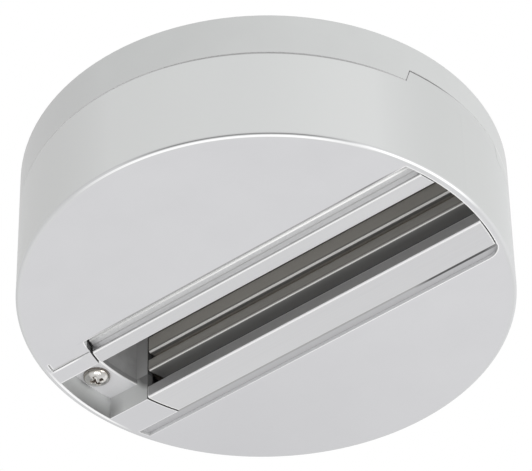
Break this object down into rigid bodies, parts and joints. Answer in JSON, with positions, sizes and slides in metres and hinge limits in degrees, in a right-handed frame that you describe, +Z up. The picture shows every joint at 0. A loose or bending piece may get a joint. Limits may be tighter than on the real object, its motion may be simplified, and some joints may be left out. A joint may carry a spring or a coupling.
{
  "type": "track light ceiling outlet",
  "caption": "Round silver ceiling canopy holding a short flush length of three-circuit track, an outlet for one track lamp, with a screwed end pocket.",
  "frame": {"origin": "centre of the face that lies on the ceiling", "axes": "+Z up into the ceiling, X along the track with the cover screw at -X, room face at z = -0.040"},
  "size_m": [0.125, 0.125, 0.04],
  "materials": {
    "housing": "satin silver",
    "track_aluminium": "satin anodised",
    "insulator": "satin moulded",
    "copper": "drawn copper",
    "pale_plastic": "matte moulded",
    "brass": "turned brass",
    "nickel": "nickel plated",
    "zinc": "zinc plated",
    "rubber": "matte black"
  },
  "bodies": {
    "root": {"cover": "housing", "base": "housing", "track_profile": "track_aluminium", "insulator_left": "insulator", "insulator_right": "insulator", "conductor_l1": "copper", "conductor_l2": "copper", "conductor_l3": "copper", "conductor_n": "copper", "end_block": "insulator", "screw_insert": "brass", "cover_screw": "nickel", "end_block_screws": "zinc", "feed_links": "copper", "terminal_block_left": "pale_plastic", "terminal_block_right": "pale_plastic", "terminal_clamps": "brass", "terminal_screws": "zinc", "block_screws": "zinc", "track_screws": "zinc", "earth_strip": "brass", "earth_washer": "brass", "earth_screw": "brass", "cable_grommet": "rubber"}
  },
  "joints": []
}
